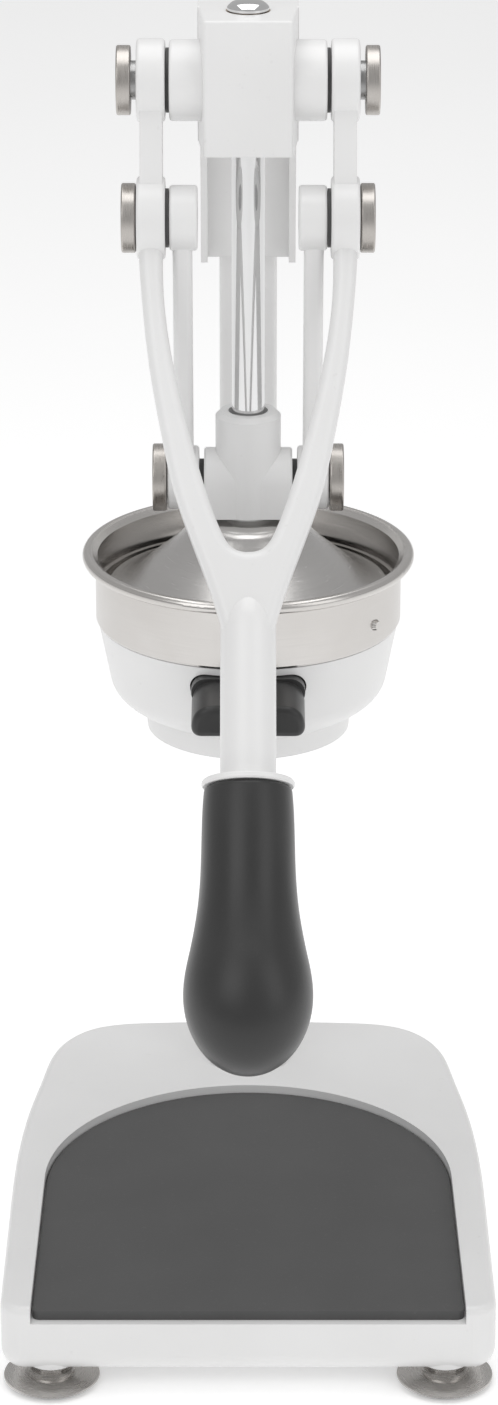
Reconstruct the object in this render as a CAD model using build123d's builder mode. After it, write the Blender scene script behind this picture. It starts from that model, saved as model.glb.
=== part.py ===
from build123d import *
from math import atan2, cos, degrees, radians, sin
import os

# Manual citrus press. Millimetres, +Z up, X to the user's right, the user stands at -Y.
# The origin is on the surface that the feet rest on, at the middle of the footprint.
# Every "y" below is measured from the press axis, which the rod, the press cone, the strainer
# and the funnel share, and press_y places that axis in the part's frame.

# ---------------------------------------------------------------- driving dimensions
press_y = 26.0

# feet and base casting
foot_height = 8.0
foot_r = 18.2
foot_places = {
    "front_left": (-74.3, -97.5),
    "front_right": (74.3, -97.5),
    "rear_left": (-60.0, 96.0),
    "rear_right": (60.0, 96.0),
}
base_top = 36.0
base_front_y = -109.0
base_rear_y = 137.5
base_side_y = -18.0
base_front_half = 93.0
base_wall = 11.0
cavity_rear_half = 70.5
mat_floor = 29.6
mat_top = 33.0
mat_half = 80.0
mat_front_y = -105.8
mat_arc_y = -5.6
mat_arc_r = 80.6
mat_gap = 0.5
stud_r = 4.0
foot_boss_r = 10.0
cavity_depth = 14.0
bolt_r = 5.0
bolt_hole_r = 5.2
bolt_head_z = 14.2
washer_thick = 1.4

# column
column_half = 11.2
column_front_y = 96.0
column_rear_y = 126.0
column_mid_y = 111.0
column_top = 426.0

# head casting
head_bottom = 452.7
head_top = 501.9
head_front_y = -18.0
head_half = 16.0
neck_half = 18.2
neck_bottom = 384.6
neck_front_y = 85.0
neck_rear_y = 130.0
channel_depth = 8.0
channel_half = 15.6
boss_r = 14.6
boss_end = 28.3

# rod and slider
rod_r = 6.0
running_gap = 0.05
bush_r = 8.0
bush_length = 12.0
rod_bottom = 316.0
slider_bottom = 313.5
slider_half = 16.3
slider_depth = 11.2
sleeve_r = 12.1
sleeve_top = 352.5

# linkage: head pivot, link pivot on the arm, link pivot on the slider
head_pivot = (0.0, 476.5)
arm_pivot = (-15.0, 429.7)
slide_pivot = (0.0, 326.4)
pin_r = 5.0
cap_r = 12.5
cap_thick = 5.2
arm_inner = 29.75
arm_outer = 40.05
arm_eye_r = 15.0
link_eye_r = 11.8
link_inner = 18.15
link_top_outer = 28.3
link_low_outer = 29.9

# handle
fork_tilt = 30.0
stem_tilt = 36.0
fork_length = 145.4
fork_half_depth = 7.2
stem_r = 9.9
stem_rise = 12.0
tang_r = 6.0
tang_end = 132.0
collar_r = 16.4
collar_start = 59.7
grip_start = 62.0
grip_length = 102.2

# bowl, strainer and press cone
housing_bottom = 228.6
housing_top = 271.3
housing_top_r = 56.4
housing_foot_r = 38.2
housing_bore_r = 50.9
ledge_z = 257.0
rim_z = 296.4
rim_r = 59.8
rim_bead_r = 2.2
bowl_wall_r = 57.2
sheet = 0.8
rivet_z = 280.0
rivet_angles = (-35.0, 145.0)
rivet_r = 1.3
rivet_head_r = 2.2
cone_top = 311.8
cone_sheet = 1.2


# ---------------------------------------------------------------- planes and small helpers
def level(height):
    """Horizontal plane at a height, centred on the press axis."""
    return Plane(origin=(0, press_y, height), x_dir=(1, 0, 0), z_dir=(0, 0, 1))


def front(y):
    """Upright plane that faces the user; local axes are X and Z, and it extrudes to the front."""
    return Plane(origin=(0, press_y + y, 0), x_dir=(1, 0, 0), z_dir=(0, -1, 0))


def side(x):
    """Upright plane across the machine; local axes are Y and Z, and it extrudes to +X."""
    return Plane(origin=(x, press_y, 0), x_dir=(0, 1, 0), z_dir=(1, 0, 0))


press_axis = Axis((0, press_y, 0), (0, 0, 1))


def spun(*points):
    """Turn a closed outline of (radius, height) points about the press axis."""
    with BuildSketch(front(0)) as outline:
        with BuildLine():
            Polyline(*points, close=True)
        make_face()
    revolve(outline.sketch, axis=press_axis)


def ring_x(outer_r, inner_r, x_from, x_to, centre, mode=Mode.ADD):
    """Ring or disc on an axis parallel to X, between two X positions."""
    with BuildSketch(side(x_from)) as outline:
        with Locations(centre):
            Circle(outer_r)
            if inner_r > 0:
                Circle(inner_r, mode=Mode.SUBTRACT)
    extrude(outline.sketch, amount=x_to - x_from, mode=mode)


def soft_disc_x(radius, x_from, x_to, centre, edge):
    """Disc on an axis parallel to X with both of its rims rounded."""
    low = min(x_from, x_to)
    high = max(x_from, x_to)
    y, z = centre
    with BuildSketch(front(y)) as outline:
        with BuildLine():
            Polyline((low, z), (low, z + radius), (high, z + radius), (high, z), close=True)
        make_face()
        fillet(outline.vertices().sort_by(Axis.Y)[-2:], edge)
    revolve(outline.sketch, axis=Axis((0, press_y + y, z), (1, 0, 0)))


def flat_bar(start, end, width, x_from, x_to):
    """Straight bar between two pivots that are given as (y, z)."""
    run = Vector(*end) - Vector(*start)
    with BuildSketch(side(x_from)) as outline:
        with Locations(((start[0] + end[0]) / 2, (start[1] + end[1]) / 2)):
            Rectangle(run.length, width, rotation=degrees(atan2(run.Y, run.X)))
    extrude(outline.sketch, amount=x_to - x_from)


def finish(builder, name):
    """Label a finished piece and write it to its own STEP file."""
    builder.part.label = name
    export_step(builder.part, "parts/" + name + ".step")


os.makedirs("parts", exist_ok=True)
hands = {"left": -1, "right": 1}


# ---------------------------------------------------------------- base, mat and feet
def base_outline():
    """Plan of the base: straight sides that draw in towards a bowed back, tight front corners."""
    with BuildSketch(level(foot_height)) as plan:
        with BuildLine():
            Line((0, base_front_y), (base_front_half, base_front_y))
            Line((base_front_half, base_front_y), (base_front_half, base_side_y))
            Spline(
                (base_front_half, base_side_y),
                (88.9, 60.0),
                (85.0, 88.0),
                (79.8, 113.0),
                (66.0, 130.5),
                (38.5, 136.4),
                (0, base_rear_y),
                tangents=((0, 1), (-1, 0)),
            )
            mirror(about=Plane.YZ)
        make_face()
        fillet(plan.vertices().sort_by(Axis.Y)[:2], 9.0)
    return plan.sketch


def mat_outline(height, grow, front_y):
    """D-shaped plan: straight sides that run into a round back."""
    with BuildSketch(level(height)) as plan:
        with BuildLine():
            left = (-mat_half - grow, mat_arc_y)
            right = (mat_half + grow, mat_arc_y)
            ThreePointArc(left, (0, mat_arc_y + mat_arc_r + grow), right)
            Polyline(right, (mat_half + 1.0 + grow, front_y), (-mat_half - 1.0 - grow, front_y), left)
        make_face()
    return plan.sketch


with BuildPart() as base_casting:
    extrude(base_outline(), amount=base_top - foot_height)
    bottom_rim = base_casting.faces().sort_by(Axis.Z)[0].edges()
    fillet(bottom_rim, 8.0)
    top_rim = base_casting.faces().sort_by(Axis.Z)[-1].edges()
    fillet(top_rim, 3.0)
    extrude(mat_outline(mat_floor, mat_gap, base_front_y - 5), amount=20, mode=Mode.SUBTRACT)
    with BuildSketch(level(base_top - 0.5)) as column_foot:
        with Locations((0, column_mid_y)):
            RectangleRounded(2 * column_half + 9, column_rear_y - column_front_y + 8, 5)
    extrude(amount=4.5)
    with BuildSketch(level(foot_height)) as cavity:
        Polygon(
            (-base_front_half + base_wall, base_front_y + base_wall),
            (base_front_half - base_wall, base_front_y + base_wall),
            (cavity_rear_half, base_rear_y - base_wall),
            (-cavity_rear_half, base_rear_y - base_wall),
            align=None,
        )
        fillet(cavity.vertices().sort_by(Axis.Y)[-2:], 44.0)
        fillet(cavity.vertices().sort_by(Axis.Y)[:2], 5.0)
    extrude(amount=cavity_depth, mode=Mode.SUBTRACT)
    with BuildSketch(level(foot_height + 1)):
        with Locations(*foot_places.values()):
            Circle(foot_boss_r)
    extrude(amount=cavity_depth)
    with BuildSketch(level(bolt_head_z + washer_thick)):
        with Locations((0, column_mid_y)):
            Rectangle(40, 26)
    extrude(amount=foot_height + cavity_depth + 1 - bolt_head_z - washer_thick)
    with BuildSketch(level(foot_height)):
        with Locations(*foot_places.values()):
            Circle(stud_r + running_gap)
    extrude(amount=17, mode=Mode.SUBTRACT)
    with BuildSketch(level(base_top)):
        with Locations((0, column_mid_y)):
            Rectangle(2 * column_half + 0.1, column_rear_y - column_front_y + 0.1)
    extrude(amount=10, mode=Mode.SUBTRACT)
    with BuildSketch(level(foot_height)):
        with Locations((0, column_mid_y)):
            Circle(bolt_hole_r)
    extrude(amount=base_top + 2 - foot_height, mode=Mode.SUBTRACT)
finish(base_casting, "base_casting")

with BuildPart() as glass_mat:
    extrude(mat_outline(mat_floor, 0, mat_front_y), amount=mat_top - mat_floor)
    fillet(glass_mat.edges().filter_by(Axis.Z).group_by(Axis.Y)[0], 3.0)
    fillet(glass_mat.faces().sort_by(Axis.Z)[-1].edges(), 0.6)
finish(glass_mat, "glass_mat")

for place, (foot_x, foot_y) in foot_places.items():
    foot_frame = Plane(origin=(foot_x, press_y + foot_y, 0), x_dir=(1, 0, 0), z_dir=(0, -1, 0))
    foot_axis = Axis((foot_x, press_y + foot_y, 0), (0, 0, 1))
    foot_base = Plane(origin=(foot_x, press_y + foot_y, 0))
    with BuildPart() as foot:
        with BuildSketch(foot_frame):
            with BuildLine():
                Polyline((0, 1.2), (foot_r - 0.6, 1.2), (foot_r, 1.7), (foot_r - 0.2, 2.3), (9, 3.7))
                Polyline((9, 3.7), (9, 5.0), (8.2, 5.4), (stud_r, 5.4), (stud_r, 23.0), (0, 23.0), (0, 1.2))
            make_face()
        revolve(axis=foot_axis)
        with BuildSketch(foot_base.offset(5.2)):
            RegularPolygon(7.6, 6)
        extrude(amount=2.6)
        with BuildSketch(foot_base):
            Circle(foot_r - 2.4)
        extrude(amount=1.2, mode=Mode.SUBTRACT)
    finish(foot, "foot_" + place)
    with BuildPart() as foot_pad:
        with BuildSketch(foot_base):
            Circle(foot_r - 2.2)
        extrude(amount=1.2)
        fillet(foot_pad.faces().sort_by(Axis.Z)[0].edges(), 0.4)
    finish(foot_pad, "foot_pad_" + place)


# ---------------------------------------------------------------- column and its fasteners
head_screw_heights = (396.0, 414.0)
housing_screw_heights = (244.0, 262.0)
screw_r = 3.0

with BuildPart() as column:
    with BuildSketch(level(base_top)):
        with Locations((0, column_mid_y)):
            RectangleRounded(2 * column_half, column_rear_y - column_front_y, 2.0)
    extrude(amount=column_top - base_top)
    with BuildSketch(level(base_top)):
        with Locations((0, column_mid_y)):
            Circle(bolt_r)
    extrude(amount=45, mode=Mode.SUBTRACT)
    with BuildSketch(front(column_rear_y)):
        with Locations(*[(0, height) for height in housing_screw_heights]):
            Circle(screw_r + 0.3)
    extrude(amount=column_rear_y - column_front_y, mode=Mode.SUBTRACT)
    with BuildSketch(front(column_rear_y)):
        with Locations(*[(0, height) for height in head_screw_heights]):
            Circle(screw_r)
    extrude(amount=14, mode=Mode.SUBTRACT)
finish(column, "column")

with BuildPart() as column_bolt:
    with BuildSketch(level(bolt_head_z - 5)):
        with Locations((0, column_mid_y)):
            RegularPolygon(1.7 * bolt_r, 6)
    extrude(amount=5)
    with BuildSketch(level(bolt_head_z)):
        with Locations((0, column_mid_y)):
            Circle(bolt_r)
    extrude(amount=55)
finish(column_bolt, "column_bolt")

with BuildPart() as column_washer:
    with BuildSketch(level(bolt_head_z)):
        with Locations((0, column_mid_y)):
            Circle(2.1 * bolt_r)
            Circle(bolt_hole_r, mode=Mode.SUBTRACT)
    extrude(amount=washer_thick)
finish(column_washer, "column_washer")


# ---------------------------------------------------------------- head casting
neck_bend_in = 50.0
neck_bend_out = 90.0
channel_lip = 5.0
half_turn_share = sin(radians(45))


def bend_arc(corner_y, corner_z, radius):
    """Quarter arc of the gooseneck, from straight up to straight back of its centre."""
    reach = radius * half_turn_share
    ThreePointArc(
        (corner_y, corner_z + radius),
        (corner_y + reach, corner_z + reach),
        (corner_y + radius, corner_z),
    )


def neck_profile():
    """Side view of the gooseneck, from the head block round to the column."""
    start_y = head_front_y + 24
    inner_y = neck_front_y - neck_bend_in
    inner_z = head_bottom - neck_bend_in
    outer_y = neck_rear_y - neck_bend_out
    outer_z = head_top - neck_bend_out
    with BuildSketch(side(-neck_half)) as outline:
        with BuildLine():
            Polyline((outer_y, head_top), (start_y, head_top), (start_y, head_bottom), (inner_y, head_bottom))
            bend_arc(inner_y, inner_z, neck_bend_in)
            Polyline((neck_front_y, inner_z), (neck_front_y, neck_bottom), (neck_rear_y, neck_bottom),
                     (neck_rear_y, outer_z))
            bend_arc(outer_y, outer_z, neck_bend_out)
        make_face()
    return outline.sketch


def channel_profile():
    """Side view of the channel sunk into the inner edge of the gooseneck."""
    start_y = head_front_y + 44
    centre_y = neck_front_y - neck_bend_in
    centre_z = head_bottom - neck_bend_in
    outer_r = neck_bend_in + channel_depth
    inner_r = neck_bend_in - channel_lip
    foot_z = neck_bottom - channel_lip
    with BuildSketch(side(-channel_half)) as outline:
        with BuildLine():
            Polyline((centre_y, centre_z + inner_r), (start_y, centre_z + inner_r),
                     (start_y, centre_z + outer_r), (centre_y, centre_z + outer_r))
            bend_arc(centre_y, centre_z, outer_r)
            Polyline((centre_y + outer_r, centre_z), (centre_y + outer_r, foot_z),
                     (centre_y + inner_r, foot_z), (centre_y + inner_r, centre_z))
            bend_arc(centre_y, centre_z, inner_r)
        make_face()
    return outline.sketch


with BuildPart() as head_casting:
    with BuildSketch(level(head_bottom)):
        Polygon(
            (-head_half, head_front_y),
            (head_half, head_front_y),
            (neck_half, head_front_y + 26),
            (-neck_half, head_front_y + 26),
            align=None,
        )
    extrude(amount=head_top - head_bottom)
    fillet(head_casting.edges().filter_by(Axis.Z).group_by(Axis.Y)[0], 1.5)
    extrude(neck_profile(), amount=2 * neck_half)
    extrude(channel_profile(), amount=2 * channel_half, mode=Mode.SUBTRACT)
    fillet(head_casting.faces().sort_by(Axis.Z)[-1].edges().filter_by(Axis.Y, reverse=True), 1.0)
    for sign in hands.values():
        soft_disc_x(boss_r, sign * (head_half - 2), sign * boss_end, head_pivot, 1.2)
        ring_x(pin_r, 0, sign * 11, sign * boss_end, head_pivot, mode=Mode.SUBTRACT)
    with BuildSketch(level(head_bottom)):
        Circle(rod_r + 0.6)
    extrude(amount=head_top - head_bottom, mode=Mode.SUBTRACT)
    with BuildSketch(level(head_bottom), level(head_top - bush_length)):
        Circle(bush_r)
    extrude(amount=bush_length, mode=Mode.SUBTRACT)
    with BuildSketch(level(neck_bottom)):
        with Locations((0, column_mid_y)):
            RectangleRounded(2 * column_half + 0.1, column_rear_y - column_front_y + 0.1, 1.9)
    extrude(amount=column_top - neck_bottom, mode=Mode.SUBTRACT)
    with BuildSketch(front(neck_rear_y)):
        with Locations(*[(0, height) for height in head_screw_heights]):
            Circle(screw_r + 0.2)
    extrude(amount=8, mode=Mode.SUBTRACT)
finish(head_casting, "head_casting")

for name, bush_z in (("rod_bush_lower", head_bottom), ("rod_bush_upper", head_top - bush_length)):
    with BuildPart() as bush:
        with BuildSketch(level(bush_z)):
            Circle(bush_r)
            Circle(rod_r + running_gap, mode=Mode.SUBTRACT)
        extrude(amount=bush_length)
    finish(bush, name)


def socket_screw(x, z, head_y, length):
    """Cap screw that points to the front, with the underside of its head at head_y."""
    place = front(head_y)
    with BuildSketch(place) as shank:
        with Locations((x, z)):
            Circle(screw_r)
    extrude(shank.sketch, amount=length)
    with BuildSketch(place) as head:
        with Locations((x, z)):
            Circle(screw_r * 1.7)
            RegularPolygon(screw_r * 0.85, 6, mode=Mode.SUBTRACT)
    extrude(head.sketch, amount=-screw_r * 1.8)


with BuildPart() as head_screws:
    for height in head_screw_heights:
        socket_screw(0, height, neck_rear_y, 16)
finish(head_screws, "head_screws")

with BuildPart() as housing_screws:
    for height in housing_screw_heights:
        socket_screw(0, height, column_rear_y, 44)
finish(housing_screws, "housing_screws")


# ---------------------------------------------------------------- bowl housing and juice funnel
arm_half = 11.0
window_z = 262.7
window_width = 42.6
window_height = 11.8

with BuildPart() as bowl_housing:
    with BuildSketch(front(0)):
        with BuildLine():
            Line((0, housing_bottom), (housing_foot_r, housing_bottom))
            Line((housing_foot_r, housing_bottom), (housing_foot_r + 0.4, 236.4))
            Bezier((housing_foot_r + 0.4, 236.4), (44.0, 239.5), (50.6, 242.0), (52.0, 248.5))
            Line((52.0, 248.5), (housing_top_r, housing_top))
            Line((housing_top_r, housing_top), (0, housing_top))
            Line((0, housing_top), (0, housing_bottom))
        make_face()
    revolve(axis=press_axis)
    with BuildSketch(side(-arm_half)):
        Polygon((30, 266.0), (30, 243.0), (56, 236.0), (column_front_y, 236.0), (column_front_y, 271.0),
                (70, 271.0), align=None)
    extrude(amount=2 * arm_half)
    with BuildSketch(front(0)):
        with BuildLine():
            Line((0, housing_bottom - 1), (24.0, housing_bottom - 1))
            Line((24.0, housing_bottom - 1), (24.0, 231.8))
            Line((24.0, 231.8), (34.4, 231.8))
            Line((34.4, 231.8), (34.8, 240.6))
            Bezier((34.8, 240.6), (42.0, 242.6), (46.6, 245.0), (47.0, 250.0))
            Line((47.0, 250.0), (47.6, ledge_z))
            Line((47.6, ledge_z), (housing_bore_r, ledge_z))
            Line((housing_bore_r, ledge_z), (housing_bore_r, housing_top + 1))
            Line((housing_bore_r, housing_top + 1), (0, housing_top + 1))
            Line((0, housing_top + 1), (0, housing_bottom - 1))
        make_face()
    revolve(axis=press_axis, mode=Mode.SUBTRACT)
    with BuildSketch(front(-30)):
        with Locations((0, window_z)):
            SlotOverall(window_width, window_height)
    extrude(amount=40, mode=Mode.SUBTRACT)
    with BuildSketch(front(column_front_y)):
        with Locations(*[(0, height) for height in housing_screw_heights]):
            Circle(screw_r)
    extrude(amount=14.2, mode=Mode.SUBTRACT)
finish(bowl_housing, "bowl_housing")

spout_r = 13.5
spout_bottom = 221.0
grip_tab_y = -45.5
tab_z = 262.0

with BuildPart() as juice_funnel:
    spun(
        (spout_r + 0.05, 239.0),
        (42.6, 246.0),
        (44.9, 249.0),
        (45.8, ledge_z),
        (50.6, ledge_z),
        (50.6, ledge_z + sheet),
        (45.1, ledge_z + sheet),
        (44.1, 249.2),
        (42.2, 246.7),
        (spout_r + 0.05, 239.8),
    )
    with BuildSketch(front(grip_tab_y)):
        with Locations((0, tab_z)):
            Rectangle(28, 8.8)
            with GridLocations(18, 0, 2, 1):
                Circle(1.6, mode=Mode.SUBTRACT)
    extrude(amount=-1.2)
finish(juice_funnel, "juice_funnel")

with BuildPart() as funnel_spout:
    spun(
        (spout_r - sheet, spout_bottom),
        (spout_r, spout_bottom),
        (spout_r, 239.8),
        (spout_r - sheet, 239.8),
    )
finish(funnel_spout, "funnel_spout")

grip_front_y = -78.0
pad_z = 259.2
pad_rise = 6.1
pad_half = 20.6
with BuildPart() as funnel_grip:
    with BuildSketch(front(grip_tab_y)):
        with Locations((0, tab_z)):
            SlotOverall(30, 8.0)
            with GridLocations(18, 0, 2, 1):
                Circle(1.5, mode=Mode.SUBTRACT)
    extrude(amount=8.0)
    with BuildSketch(front(-52.0)):
        with Locations((0, window_z)):
            SlotOverall(window_width - 1.0, window_height - 1.0)
    extrude(amount=5.0)
    with BuildSketch(Plane(origin=(0, press_y + grip_front_y, pad_z), x_dir=(1, 0, 0), z_dir=(0, 1, 0.09))):
        with BuildLine():
            Polyline((pad_half - 4, pad_rise), (-pad_half + 4, pad_rise))
            Bezier((-pad_half + 4, pad_rise), (-pad_half, pad_rise), (-pad_half, pad_rise - 4))
            Bezier((-pad_half, pad_rise - 4), (-pad_half + 0.4, -pad_rise), (-pad_half + 9, -pad_rise))
            Line((-pad_half + 9, -pad_rise), (pad_half - 9, -pad_rise))
            Bezier((pad_half - 9, -pad_rise), (pad_half - 0.4, -pad_rise), (pad_half, pad_rise - 4))
            Bezier((pad_half, pad_rise - 4), (pad_half, pad_rise), (pad_half - 4, pad_rise))
        make_face()
    extrude(amount=22.0)
    fillet(funnel_grip.faces().sort_by(Axis.Y)[0].edges(), 2.4)
finish(funnel_grip, "funnel_grip")

with BuildPart() as grip_screws:
    with BuildSketch(front(grip_tab_y + 1.2)):
        with Locations((0, tab_z)):
            with GridLocations(18, 0, 2, 1):
                Circle(3.0)
    extrude(amount=-1.6)
    with BuildSketch(front(grip_tab_y + 1.2)):
        with Locations((0, tab_z)):
            with GridLocations(18, 0, 2, 1):
                Circle(1.5)
    extrude(amount=7.4)
finish(grip_screws, "grip_screws")


# ---------------------------------------------------------------- strainer
step_z = housing_top + 0.35
spigot_r = housing_bore_r - 0.4

with BuildPart() as strainer_basket:
    spun(
        (bowl_wall_r - sheet, rim_z),
        (bowl_wall_r - sheet, step_z + 0.3),
        (bowl_wall_r - 0.5, step_z),
        (bowl_wall_r, step_z + 0.8),
        (bowl_wall_r, rim_z),
    )
    with BuildSketch(front(0)):
        with Locations((rim_r, rim_z)):
            Circle(rim_bead_r)
    revolve(axis=press_axis)
    with BuildSketch(front(0)):
        with BuildLine():
            Polyline((bowl_wall_r - sheet, rim_z), (bowl_wall_r + 1, rim_z + 1.6), (rim_r, rim_z), close=True)
        make_face()
    revolve(axis=press_axis)
    for angle in rivet_angles:
        out = Vector(1, 0, 0).rotate(Axis.Z, angle)
        spot = Vector(0, press_y, rivet_z) + out * (bowl_wall_r - 2)
        with BuildSketch(Plane(origin=spot, z_dir=out)):
            Circle(rivet_r)
        extrude(amount=4, mode=Mode.SUBTRACT)
finish(strainer_basket, "strainer_basket")

skirt_r = bowl_wall_r - sheet - 0.05
skirt_top = 284.0
drain_hole_r = 1.3
reamer_r = 34.0
reamer_top = 299.0

with BuildPart() as strainer_cup:
    spun(
        (reamer_r + 0.6, step_z),
        (spigot_r - 1.6, step_z),
        (spigot_r - 1.2, step_z - 2.4),
        (spigot_r, step_z - 2.4),
        (spigot_r, step_z),
        (skirt_r - 0.6, step_z),
        (skirt_r, step_z + 0.6),
        (skirt_r, skirt_top),
        (skirt_r - sheet, skirt_top),
        (skirt_r - sheet, step_z + sheet),
        (reamer_r + 0.6, step_z + sheet),
    )
    with BuildSketch(level(step_z - 1)):
        for ring_r, first_angle in ((38.0, 0), (42.5, 5), (46.5, 0)):
            with PolarLocations(ring_r, 36, start_angle=first_angle):
                Circle(drain_hole_r)
    extrude(amount=3, mode=Mode.SUBTRACT)
    for angle in rivet_angles:
        out = Vector(1, 0, 0).rotate(Axis.Z, angle)
        spot = Vector(0, press_y, rivet_z) + out * (bowl_wall_r - 4)
        with BuildSketch(Plane(origin=spot, z_dir=out)):
            Circle(rivet_r)
        extrude(amount=5, mode=Mode.SUBTRACT)
finish(strainer_cup, "strainer_cup")

with BuildPart() as strainer_cone:
    with BuildSketch(front(0)):
        with BuildLine():
            Spline((reamer_r + 0.5, step_z), (reamer_r - 3, step_z + 2.6), (12, reamer_top - 5.5),
                   (0, reamer_top - 1), tangents=((-1, 0.1), (-1, 0)))
            Line((0, reamer_top - 1), (0, reamer_top))
            Spline((0, reamer_top), (12.6, reamer_top - 4.7), (reamer_r - 2.2, step_z + 3.5),
                   (reamer_r + 0.5, step_z + sheet), tangents=((1, 0), (1, -0.1)))
            Line((reamer_r + 0.5, step_z + sheet), (reamer_r + 0.5, step_z))
        make_face()
    revolve(axis=press_axis)
    with BuildSketch(level(step_z)):
        with PolarLocations(22, 18):
            SlotOverall(13, 1.8)
    extrude(amount=reamer_top - step_z, mode=Mode.SUBTRACT)
finish(strainer_cone, "strainer_cone")

rivet_grip = 2 * sheet + 0.1
with BuildPart() as strainer_rivets:
    for angle in rivet_angles:
        out = Vector(1, 0, 0).rotate(Axis.Z, angle)
        spot = Vector(0, press_y, rivet_z) + out * (bowl_wall_r - rivet_grip)
        with BuildSketch(Plane(origin=spot, z_dir=out)):
            Circle(rivet_r)
        extrude(amount=rivet_grip)
        with BuildSketch(Plane(origin=spot, z_dir=out)):
            Circle(rivet_head_r)
        extrude(amount=-1.1, taper=25)
        with BuildSketch(Plane(origin=spot + out * rivet_grip, z_dir=out)):
            Circle(rivet_head_r)
        extrude(amount=1.3, taper=25)
finish(strainer_rivets, "strainer_rivets")


# ---------------------------------------------------------------- press carriage
spigot_screw_r = 4.0

with BuildPart() as guide_rod:
    spun(
        (0, 303.6),
        (spigot_screw_r - 0.4, 303.6),
        (spigot_screw_r, 304.2),
        (spigot_screw_r, rod_bottom),
        (rod_r, rod_bottom),
        (rod_r, head_top + 0.3),
        (3.0, head_top + 0.3),
        (3.0, head_top - 9.7),
        (0, head_top - 9.7),
    )
finish(guide_rod, "guide_rod")

with BuildPart() as rod_cap:
    with BuildSketch(front(0)):
        with BuildLine():
            Polyline((0, head_top - 9.6), (3.0, head_top - 9.6), (3.0, head_top + 0.4), (7.6, head_top + 0.4),
                     (7.6, head_top + 1.2))
            Bezier((7.6, head_top + 1.2), (6.2, head_top + 3.4), (3.4, head_top + 4.0), (0, head_top + 4.0))
            Line((0, head_top + 4.0), (0, head_top - 9.6))
        make_face()
    revolve(axis=press_axis)
finish(rod_cap, "rod_cap")

with BuildPart() as slider_block:
    with BuildSketch(side(-slider_half)):
        with Locations(slide_pivot):
            Circle(slider_depth)
        with Locations((0, (slider_bottom + slide_pivot[1]) / 2)):
            Rectangle(2 * slider_depth, slide_pivot[1] - slider_bottom)
    extrude(amount=2 * slider_half)
    chamfer(slider_block.faces().sort_by(Axis.X)[0].edges(), 0.7)
    chamfer(slider_block.faces().sort_by(Axis.X)[-1].edges(), 0.7)
    with BuildSketch(level(slider_bottom)):
        Circle(sleeve_r)
    extrude(amount=sleeve_top - slider_bottom)
    chamfer(slider_block.faces().sort_by(Axis.Z)[-1].edges(), 1.8)
    with BuildSketch(level(cone_top)):
        Circle(9)
    extrude(amount=slider_bottom - cone_top)
    with BuildSketch(level(cone_top)):
        Circle(spigot_screw_r)
    extrude(amount=rod_bottom - cone_top, mode=Mode.SUBTRACT)
    with BuildSketch(level(rod_bottom)):
        Circle(rod_r)
    extrude(amount=sleeve_top - rod_bottom, mode=Mode.SUBTRACT)
    with BuildSketch(level(sleeve_top - 7)):
        Circle(7.3)
    extrude(amount=7, mode=Mode.SUBTRACT)
    for sign in hands.values():
        ring_x(pin_r, 0, sign * 8.5, sign * slider_half, slide_pivot, mode=Mode.SUBTRACT)
    with BuildSketch(front(slider_depth)):
        with Locations((0, 334.0)):
            Circle(2.5)
    extrude(amount=slider_depth - rod_r, mode=Mode.SUBTRACT)
finish(slider_block, "slider_block")

with BuildPart() as rod_grub_screw:
    with BuildSketch(front(slider_depth - 0.6)):
        with Locations((0, 334.0)):
            Circle(2.5)
            RegularPolygon(1.4, 6, mode=Mode.SUBTRACT)
    extrude(amount=2.0)
    with BuildSketch(front(slider_depth - 2.6)):
        with Locations((0, 334.0)):
            Circle(2.5)
    extrude(amount=slider_depth - 2.6 - rod_r - 0.02)
finish(rod_grub_screw, "rod_grub_screw")

with BuildPart() as press_cone:
    with BuildSketch(front(0)):
        with BuildLine():
            Line((spigot_screw_r + 0.1, cone_top), (14.6, cone_top))
            Spline((14.6, cone_top), (23.7, 305.6), (38.4, 292.2), (52.3, 284.6), tangents=((1, 0), (1, -0.12)))
            Line((52.3, 284.6), (52.1, 283.4))
            Spline((52.1, 283.4), (37.6, 291.3), (22.9, 304.6), (14.4, cone_top - cone_sheet),
                   tangents=((-1, 0.12), (-1, 0)))
            Line((14.4, cone_top - cone_sheet), (spigot_screw_r + 0.1, cone_top - cone_sheet))
            Line((spigot_screw_r + 0.1, cone_top - cone_sheet), (spigot_screw_r + 0.1, cone_top))
        make_face()
    revolve(axis=press_axis)
finish(press_cone, "press_cone")

with BuildPart() as press_washer:
    with BuildSketch(level(cone_top - cone_sheet - 1.2)):
        Circle(9)
        Circle(spigot_screw_r + 0.1, mode=Mode.SUBTRACT)
    extrude(amount=1.2)
finish(press_washer, "press_washer")

with BuildPart() as press_nut:
    with BuildSketch(level(cone_top - cone_sheet - 6.2)):
        RegularPolygon(7.5, 6)
        Circle(spigot_screw_r, mode=Mode.SUBTRACT)
    extrude(amount=5.0)
finish(press_nut, "press_nut")


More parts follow.
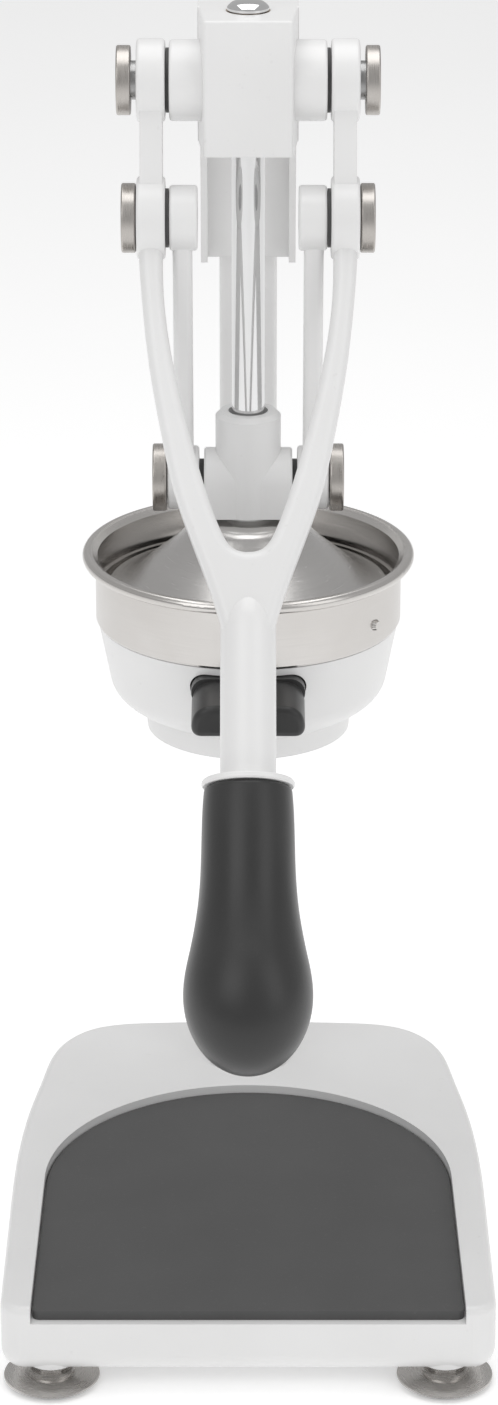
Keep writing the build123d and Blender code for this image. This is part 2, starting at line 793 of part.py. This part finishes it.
# ---------------------------------------------------------------- pivots, links and handle
for hand, sign in hands.items():
    with BuildPart() as head_pin:
        ring_x(pin_r, 0, sign * 11.0, sign * 42.3, head_pivot)
        ring_x(7.0, 0, sign * (arm_outer + 0.2), sign * 42.1, head_pivot)
    finish(head_pin, "head_pin_" + hand)
    with BuildPart() as head_washer:
        ring_x(11.6, pin_r, sign * (boss_end + 0.05), sign * (arm_inner - 0.2), head_pivot)
    finish(head_washer, "head_washer_" + hand)
    with BuildPart() as head_cap:
        soft_disc_x(cap_r, sign * 42.1, sign * (42.1 + cap_thick), head_pivot, 0.7)
        ring_x(pin_r, 0, sign * 42.1, sign * 42.3, head_pivot, mode=Mode.SUBTRACT)
    finish(head_cap, "head_cap_" + hand)

    with BuildPart() as arm_pin:
        ring_x(pin_r, 0, sign * (link_top_outer + 0.2), sign * (arm_outer + 0.9), arm_pivot)
    finish(arm_pin, "arm_pin_" + hand)
    with BuildPart() as arm_cap:
        soft_disc_x(cap_r, sign * (arm_outer + 0.3), sign * (arm_outer + 0.3 + cap_thick), arm_pivot, 0.7)
        ring_x(pin_r, 0, sign * (arm_outer + 0.3), sign * (arm_outer + 0.9), arm_pivot, mode=Mode.SUBTRACT)
    finish(arm_cap, "arm_cap_" + hand)
    with BuildPart() as arm_washer:
        ring_x(10.6, pin_r, sign * (link_top_outer + 0.2), sign * (arm_inner - 0.05), arm_pivot)
    finish(arm_washer, "arm_washer_" + hand)

    with BuildPart() as slider_pin:
        ring_x(pin_r, 0, sign * 8.5, sign * (link_low_outer + 0.9), slide_pivot)
    finish(slider_pin, "slider_pin_" + hand)
    with BuildPart() as slider_cap:
        soft_disc_x(cap_r, sign * (link_low_outer + 0.3), sign * (link_low_outer + 0.3 + cap_thick),
                    slide_pivot, 0.7)
        ring_x(pin_r, 0, sign * (link_low_outer + 0.3), sign * (link_low_outer + 0.9), slide_pivot,
               mode=Mode.SUBTRACT)
    finish(slider_cap, "slider_cap_" + hand)
    with BuildPart() as slider_washer:
        ring_x(6.9, pin_r, sign * (slider_half + 0.05), sign * (link_inner - 0.1), slide_pivot)
    finish(slider_washer, "slider_washer_" + hand)

    with BuildPart() as link:
        flat_bar(slide_pivot, arm_pivot, 15.5, sign * 20.2, sign * 27.2)
        fillet(link.edges().filter_by(lambda edge: edge.length > 50), 2.2)
        soft_disc_x(link_eye_r, sign * link_inner, sign * link_top_outer, arm_pivot, 1.2)
        soft_disc_x(link_eye_r, sign * link_inner, sign * link_low_outer, slide_pivot, 1.2)
        ring_x(pin_r, 0, sign * 10, sign * 35, arm_pivot, mode=Mode.SUBTRACT)
        ring_x(pin_r + running_gap, 0, sign * 10, sign * 35, slide_pivot, mode=Mode.SUBTRACT)
    finish(link, "link_" + hand)
    with BuildPart() as link_pin:
        ring_x(pin_r, 0, sign * (link_inner + 0.3), sign * link_top_outer, arm_pivot)
    finish(link_pin, "link_pin_" + hand)

fork_down = Vector(0, -sin(radians(fork_tilt)), -cos(radians(fork_tilt)))
fork_front = Vector(0, -cos(radians(fork_tilt)), sin(radians(fork_tilt)))
stem_down = Vector(0, -sin(radians(stem_tilt)), -cos(radians(stem_tilt)))
stem_front = Vector(0, -cos(radians(stem_tilt)), sin(radians(stem_tilt)))
arm_centre = Vector(0, press_y + arm_pivot[0], arm_pivot[1])
fork_end = arm_centre + fork_down * fork_length
fork_back_plane = Plane(origin=arm_centre - fork_front * fork_half_depth, x_dir=(1, 0, 0), z_dir=fork_front)
stem_plane = Plane(origin=fork_end, x_dir=(1, 0, 0), z_dir=fork_front.cross(Vector(1, 0, 0)))
stem_profile_plane = Plane(origin=fork_end, x_dir=(1, 0, 0), z_dir=stem_front)
stem_axis = Axis(fork_end, stem_down)

with BuildPart() as handle_yoke:
    with BuildSketch(fork_back_plane):
        with BuildLine():
            outer = Spline((39.4, -6), (38.3, -28), (35.5, -54), (30.9, -80), (25.2, -104), (17.6, -125),
                           (10.6, -fork_length), (6.5, -fork_length - 12), tangents=((0, -1), (-0.5, -1)))
            inner = Spline((30.6, -6), (30.4, -26), (27.2, -52), (22.3, -74.5), (15.8, -98), (9.2, -116),
                           (0, -122.7), tangents=((0, -1), (-1, 0)))
            Line(outer @ 0, inner @ 0)
            mirror(about=Plane.YZ)
            Line((6.5, -fork_length - 12), (-6.5, -fork_length - 12))
        make_face()
    extrude(amount=2 * fork_half_depth)
    fork_rims = handle_yoke.edges().filter_by(lambda edge: edge.length > 60)
    fillet(fork_rims, 3.4)
    with BuildSketch(stem_profile_plane):
        with BuildLine():
            Polyline((0, stem_rise), (tang_r, stem_rise))
            Bezier((tang_r, stem_rise), (tang_r + 0.8, 5), (stem_r, 3), (stem_r, -4))
            Polyline((stem_r, -4), (stem_r, -collar_start), (collar_r - 0.5, -collar_start),
                     (collar_r, -collar_start - 0.6), (collar_r, -grip_start + 0.5),
                     (collar_r - 0.5, -grip_start), (tang_r, -grip_start), (tang_r, -tang_end),
                     (0, -tang_end), (0, stem_rise))
        make_face()
    revolve(axis=stem_axis)
    for sign in hands.values():
        flat_bar(arm_pivot, head_pivot, 19.0, sign * (arm_inner + 1.0), sign * (arm_outer - 1.2))
        soft_disc_x(arm_eye_r, sign * arm_inner, sign * arm_outer, head_pivot, 1.4)
        soft_disc_x(arm_eye_r, sign * arm_inner, sign * arm_outer, arm_pivot, 1.4)
        ring_x(pin_r + running_gap, 0, sign * 25, sign * 45, head_pivot, mode=Mode.SUBTRACT)
        ring_x(pin_r, 0, sign * 25, sign * 45, arm_pivot, mode=Mode.SUBTRACT)
finish(handle_yoke, "handle_yoke")

bulb_at = 74.0
bulb_r = 22.6
with BuildPart() as handle_grip:
    with BuildSketch(stem_profile_plane):
        with BuildLine():
            Line((0, -grip_start - 0.05), (13.6, -grip_start - 0.05))
            TangentArc((13.6, -grip_start - 0.05), (15.6, -grip_start - 2.05), tangent=(1, 0))
            Spline((15.6, -grip_start - 2.05), (16.5, -grip_start - 25), (17.6, -grip_start - 42.4),
                   (20.3, -grip_start - 58.3), (bulb_r, -grip_start - bulb_at),
                   tangents=((0.1, -1), (0, -1)))
            Bezier((bulb_r, -grip_start - bulb_at), (bulb_r, -grip_start - 89.6),
                   (0.55 * bulb_r, -grip_start - grip_length), (0, -grip_start - grip_length))
            Line((0, -grip_start - grip_length), (0, -grip_start - 0.05))
        make_face()
    revolve(axis=stem_axis)
    with BuildSketch(stem_profile_plane):
        with BuildLine():
            Polyline((0, -grip_start), (tang_r, -grip_start), (tang_r, -tang_end - 0.1), (0, -tang_end - 0.1),
                     close=True)
        make_face()
    revolve(axis=stem_axis, mode=Mode.SUBTRACT)
finish(handle_grip, "handle_grip")
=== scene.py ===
import math

import bpy
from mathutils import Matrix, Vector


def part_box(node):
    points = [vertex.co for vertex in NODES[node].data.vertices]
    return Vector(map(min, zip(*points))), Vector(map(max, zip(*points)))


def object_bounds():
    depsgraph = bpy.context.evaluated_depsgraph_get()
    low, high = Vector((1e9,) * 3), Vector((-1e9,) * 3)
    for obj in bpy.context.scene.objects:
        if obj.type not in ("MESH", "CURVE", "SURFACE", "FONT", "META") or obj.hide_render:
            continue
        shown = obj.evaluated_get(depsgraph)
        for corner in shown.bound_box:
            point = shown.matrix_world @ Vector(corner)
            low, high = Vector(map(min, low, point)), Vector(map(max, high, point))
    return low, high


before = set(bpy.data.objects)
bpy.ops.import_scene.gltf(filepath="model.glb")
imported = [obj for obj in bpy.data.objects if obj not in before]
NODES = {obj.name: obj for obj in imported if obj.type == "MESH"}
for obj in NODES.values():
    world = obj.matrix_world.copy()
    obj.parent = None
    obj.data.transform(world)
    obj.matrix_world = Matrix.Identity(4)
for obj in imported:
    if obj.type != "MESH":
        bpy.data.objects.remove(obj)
cad_low, cad_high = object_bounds()

PRESS_Y = 0.026
ARC_STRETCH = 0.0008
HANDS = ("left", "right")
FOOT_PLACES = ("front_left", "front_right", "rear_left", "rear_right")
FLOOR_DROP = 0.0004


# ---------------------------------------------------------------- node helpers
def add_node(tree, kind, links=None, **settings):
    """Add a shader node; links maps socket names or indexes to values or to other sockets."""
    made = tree.nodes.new("ShaderNode" + kind)
    for name, value in settings.items():
        setattr(made, name, value)
    for key, value in (links or {}).items():
        socket = made.inputs[key]
        if isinstance(value, bpy.types.NodeSocket):
            tree.links.new(value, socket)
        else:
            socket.default_value = value
    return made


def new_material(name, **uniform):
    """Material with one Principled shader whose uniform values are set on its own sockets."""
    material = bpy.data.materials.new(name)
    material.use_nodes = True
    tree = material.node_tree
    shader = tree.nodes["Principled BSDF"]
    for socket, value in uniform.items():
        shader.inputs[socket.replace("_", " ").title().replace("Ior", "IOR")].default_value = value
    return material, tree, shader


def grey(level, warm=0.0):
    """Linear colour; warm lifts red and lowers blue by that share."""
    return (level * (1 + warm), level, level * (1 - warm), 1.0)


def part_coordinates(tree):
    """Position in the part's own frame, in metres."""
    return add_node(tree, "TexCoord").outputs["Object"]


def noise(tree, where, size, detail=2.0, roughness=0.5):
    """Noise whose features are about size metres wide."""
    made = add_node(
        tree,
        "TexNoise",
        {"Vector": where, "Scale": 1.0 / size, "Detail": detail, "Roughness": roughness},
    )
    return made.outputs["Fac"]


def remap(tree, value, low, high, to_low, to_high):
    """Linear map of a value from one range to another, clamped."""
    made = add_node(
        tree,
        "MapRange",
        {"Value": value, "From Min": low, "From Max": high, "To Min": to_low, "To Max": to_high},
    )
    return made.outputs["Result"]


def mix_colour(tree, factor, first, second):
    """Blend of two colours by a factor; sockets 6 and 7 are the two colours, and output 2 the blend."""
    return add_node(tree, "Mix", {0: factor, 6: first, 7: second}, data_type="RGBA").outputs[2]


def arithmetic(tree, operation, first, second=0.0):
    """One maths node."""
    return add_node(tree, "Math", {0: first, 1: second}, operation=operation).outputs[0]


def bump(tree, height, depth, strength):
    """Bump of that depth in metres."""
    made = add_node(tree, "Bump", {"Height": height, "Distance": depth, "Strength": strength})
    return made.outputs["Normal"]


def edge_mask(tree, width):
    """Near 1 on edges and 0 on flats, from how far the bevelled normal leans from the real one."""
    bevelled = add_node(tree, "Bevel", {"Radius": width}, samples=6).outputs["Normal"]
    plain = add_node(tree, "NewGeometry").outputs["Normal"]
    lean = add_node(tree, "VectorMath", {0: bevelled, 1: plain}, operation="DOT_PRODUCT").outputs["Value"]
    return remap(tree, lean, 0.98, 0.8, 0.0, 1.0)


def paint(names, material):
    """Give a material to CAD nodes."""
    for name in names:
        NODES[name].data.materials.clear()
        NODES[name].data.materials.append(material)


def both(prefix):
    """The left and right node of a pair."""
    return [prefix + hand for hand in HANDS]


# ---------------------------------------------------------------- coated and rubber materials
def powder_coat():
    """White powder coat: fine orange peel, slow shade changes, thinner and greyer on the edges."""
    material, tree, shader = new_material("powder_coat", coat_weight=0.25, coat_roughness=0.25, ior=1.5)
    where = part_coordinates(tree)
    slow = noise(tree, where, 0.06, detail=3)
    fine = noise(tree, where, 0.0011, detail=2)
    speck = noise(tree, where, 0.0032, detail=4)
    body = mix_colour(tree, remap(tree, slow, 0.3, 0.7, 0, 1), grey(0.80, 0.004), grey(0.84, 0.002))
    dusty = mix_colour(tree, remap(tree, speck, 0.68, 0.8, 0, 0.35), body, grey(0.66, 0.01))
    edge_wear_and_sheen = arithmetic(tree, "MULTIPLY", edge_mask(tree, 0.0009), 0.3)
    worn = mix_colour(tree, edge_wear_and_sheen, dusty, grey(0.62, 0.01))
    tree.links.new(worn, shader.inputs["Base Color"])
    tree.links.new(remap(tree, slow, 0.3, 0.7, 0.34, 0.44), shader.inputs["Roughness"])
    tree.links.new(bump(tree, fine, 0.00006, 0.35), shader.inputs["Normal"])
    return material


def moulded_rubber(name, level, rough_low, rough_high, grain, depth):
    """Dark rubber: fine moulded grain, slow sheen changes and a painted sheen, with the edges mixed towards a
    paler grey as a painted highlight.
    """
    material, tree, shader = new_material(name, sheen_weight=0.12, sheen_roughness=0.5, ior=1.5)
    where = part_coordinates(tree)
    slow = noise(tree, where, 0.03, detail=4)
    fine = noise(tree, where, grain, detail=3)
    specks = noise(tree, where, grain * 2.2, detail=5, roughness=0.7)
    body = mix_colour(tree, remap(tree, slow, 0.3, 0.7, 0, 1), grey(level * 0.9), grey(level * 1.1))
    flecked = mix_colour(tree, remap(tree, specks, 0.6, 0.75, 0, 0.5), body, grey(level * 1.7))
    # painted highlight: the edge mask blends the rubber towards a paler grey, a painted sheen along the edges
    edge_wear_and_sheen = arithmetic(tree, "MULTIPLY", edge_mask(tree, 0.0012), 0.4)
    with_painted_edge_sheen = mix_colour(tree, edge_wear_and_sheen, flecked, grey(level * 1.9))
    tree.links.new(with_painted_edge_sheen, shader.inputs["Base Color"])
    tree.links.new(remap(tree, slow, 0.25, 0.75, rough_low, rough_high), shader.inputs["Roughness"])
    tree.links.new(bump(tree, fine, depth, 0.6), shader.inputs["Normal"])
    return material


# ---------------------------------------------------------------- metal materials
def turned_metal(name, level, warm, axis, centre, rough_low, rough_high, anisotropic=0.55, ring=0.0004):
    """Metal with the fine rings left by spinning or turning it about an axis through centre."""
    material, tree, shader = new_material(name, metallic=1.0, anisotropic=anisotropic)
    where = part_coordinates(tree)
    offset = add_node(tree, "VectorMath", {0: where, 1: centre}, operation="SUBTRACT").outputs["Vector"]
    split = add_node(tree, "SeparateXYZ", {"Vector": offset})
    names = {"X": ("Y", "Z", "X"), "Z": ("X", "Y", "Z")}[axis]
    first, second, along = (split.outputs[name] for name in names)
    radius = arithmetic(tree, "SQRT", arithmetic(tree, "ADD", arithmetic(tree, "MULTIPLY", first, first),
                                                 arithmetic(tree, "MULTIPLY", second, second)))
    angle = arithmetic(tree, "ARCTAN2", second, first)
    turn = arithmetic(tree, "MULTIPLY", angle, ARC_STRETCH)
    rings = add_node(tree, "CombineXYZ", {"X": turn, "Y": radius, "Z": along}).outputs["Vector"]
    grain = noise(tree, rings, ring, detail=3, roughness=0.6)
    slow = noise(tree, where, 0.025, detail=3)
    streak = remap(tree, grain, 0.25, 0.75, 0, 1)
    body = mix_colour(tree, streak, grey(level * 0.95, warm), grey(level * 1.05, warm))
    shaded = mix_colour(tree, remap(tree, slow, 0.35, 0.7, 0, 0.5), body, grey(level * 0.9, warm * 1.4))
    tree.links.new(shaded, shader.inputs["Base Color"])
    tree.links.new(remap(tree, grain, 0.25, 0.75, rough_low, rough_high), shader.inputs["Roughness"])
    tree.links.new(bump(tree, grain, 0.00001, 0.4), shader.inputs["Normal"])
    tangent = add_node(tree, "Tangent", direction_type="RADIAL", axis=axis)
    tree.links.new(tangent.outputs["Tangent"], shader.inputs["Tangent"])
    return material


def polished_chrome():
    """Hard chrome on the rod: nearly a mirror, with faint marks along its length."""
    material, tree, shader = new_material("polished_chrome", metallic=1.0)
    where = part_coordinates(tree)
    stretched = add_node(tree, "Mapping", {"Vector": where, "Scale": (1.0, 1.0, 0.04)}).outputs["Vector"]
    marks = noise(tree, stretched, 0.0009, detail=3)
    slow = noise(tree, where, 0.02, detail=2)
    tree.links.new(mix_colour(tree, slow, grey(0.70), grey(0.78)), shader.inputs["Base Color"])
    tree.links.new(remap(tree, marks, 0.35, 0.75, 0.05, 0.13), shader.inputs["Roughness"])
    tree.links.new(bump(tree, marks, 0.000004, 0.3), shader.inputs["Normal"])
    return material


def plated_steel(name, level, warm=0.0):
    """Screws, pins and bushes: small-scale mottling and worn edges."""
    material, tree, shader = new_material(name, metallic=1.0)
    where = part_coordinates(tree)
    mottle = noise(tree, where, 0.0018, detail=4)
    fine = noise(tree, where, 0.0005, detail=2)
    patches = remap(tree, mottle, 0.3, 0.7, 0, 1)
    body = mix_colour(tree, patches, grey(level * 0.85, warm), grey(level * 1.1, warm))
    tree.links.new(mix_colour(tree, edge_mask(tree, 0.0004), body, grey(level * 1.35, warm)),
                   shader.inputs["Base Color"])
    tree.links.new(remap(tree, mottle, 0.3, 0.7, 0.26, 0.42), shader.inputs["Roughness"])
    tree.links.new(bump(tree, fine, 0.00002, 0.3), shader.inputs["Normal"])
    return material


# ---------------------------------------------------------------- materials on the CAD nodes
coated = ["base_casting", "column", "head_casting", "bowl_housing", "handle_yoke", "slider_block"]
paint(coated + both("link_"), powder_coat())
paint(["glass_mat"], moulded_rubber("mat_rubber", 0.072, 0.62, 0.75, 0.0007, 0.00005))
paint(["handle_grip", "funnel_grip"], moulded_rubber("grip_rubber", 0.022, 0.32, 0.42, 0.0006, 0.00003))
paint(["foot_pad_" + place for place in FOOT_PLACES],
      moulded_rubber("pad_rubber", 0.03, 0.6, 0.7, 0.0008, 0.00005))
paint(both("head_washer_") + both("arm_washer_") + both("slider_washer_"),
      moulded_rubber("washer_plastic", 0.06, 0.5, 0.6, 0.0006, 0.00002))

pivots = {"head": "head_cap_left", "arm": "arm_cap_left", "slider": "slider_cap_left"}
for pivot, cap in pivots.items():
    low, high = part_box(cap)
    middle = (low + high) / 2
    paint(both(pivot + "_cap_"),
          turned_metal(pivot + "_cap_nickel", 0.46, 0.05, "X", (0.0, middle.y, middle.z), 0.24, 0.36))

for place in FOOT_PLACES:
    low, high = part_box("foot_" + place)
    middle = (low + high) / 2
    paint(["foot_" + place],
          turned_metal("foot_steel_" + place, 0.56, 0.03, "Z", (middle.x, middle.y, 0.0), 0.2, 0.32))

paint(["strainer_basket", "strainer_cup", "strainer_cone", "strainer_rivets", "juice_funnel", "funnel_spout"],
      turned_metal("basket_steel", 0.60, 0.03, "Z", (0.0, PRESS_Y, 0.0), 0.17, 0.25, 0.75, 0.0003))
paint(["press_cone"],
      turned_metal("press_steel", 0.60, 0.02, "Z", (0.0, PRESS_Y, 0.0), 0.2, 0.28, 0.8, 0.0003))
paint(["guide_rod", "rod_cap"], polished_chrome())
paint(both("head_pin_") + both("arm_pin_") + both("slider_pin_") + both("link_pin_"),
      plated_steel("pin_steel", 0.42))
paint(["column_bolt", "column_washer", "head_screws", "housing_screws", "grip_screws", "press_washer",
       "press_nut", "rod_grub_screw"], plated_steel("zinc_steel", 0.48, 0.01))
paint(["rod_bush_upper", "rod_bush_lower"], plated_steel("bush_bronze", 0.42, 0.25))


# ---------------------------------------------------------------- floor, light and camera
def pale_floor():
    """Plain seamless studio floor."""
    bpy.ops.mesh.primitive_plane_add(size=60.0, location=(0, 2.0, -FLOOR_DROP))
    floor = bpy.context.object
    floor.name = "studio_floor"
    material, tree, shader = new_material(
        "studio_floor", roughness=0.8, emission_color=(1, 1, 1, 1), emission_strength=0.3
    )
    where = part_coordinates(tree)
    cloud = noise(tree, where, 0.4, detail=3)
    tree.links.new(mix_colour(tree, cloud, grey(0.92), grey(0.95)), shader.inputs["Base Color"])
    tree.links.new(bump(tree, noise(tree, where, 0.002), 0.00002, 0.2), shader.inputs["Normal"])
    floor.data.materials.append(material)


def soft_light(name, place, size, power):
    """Rectangular softbox that looks at the middle of the object."""
    data = bpy.data.lights.new(name, "AREA")
    data.shape = "RECTANGLE"
    data.size, data.size_y = size
    data.energy = power
    lamp = bpy.data.objects.new(name, data)
    bpy.context.scene.collection.objects.link(lamp)
    lamp.location = place
    aim = (cad_low + cad_high) / 2 - lamp.location
    lamp.rotation_euler = aim.to_track_quat("-Z", "Y").to_euler()


pale_floor()
soft_light("key", (-0.9, -1.3, 1.5), (1.2, 1.2), 5.8)
soft_light("fill", (1.2, -0.9, 1.1), (0.8, 1.4), 3.5)
soft_light("top", (0.0, 0.2, 1.9), (1.4, 1.4), 12)

world = bpy.data.worlds.new("studio")
world.use_nodes = True
background = world.node_tree.nodes["Background"]
background.inputs["Color"].default_value = (1, 1, 1, 1)
background.inputs["Strength"].default_value = 0.5
bpy.context.scene.world = world
bpy.context.scene.view_settings.view_transform = "Standard"

lens_data = bpy.data.cameras.new("camera")
lens_data.sensor_width = 36.0
lens_data.lens = 110.18
camera = bpy.data.objects.new("camera", lens_data)
bpy.context.scene.collection.objects.link(camera)
camera.location = (0.0003, -1.488925, 0.840514)
camera.rotation_euler = (math.radians(68.253), 0.0, 0.0)
bpy.context.scene.camera = camera
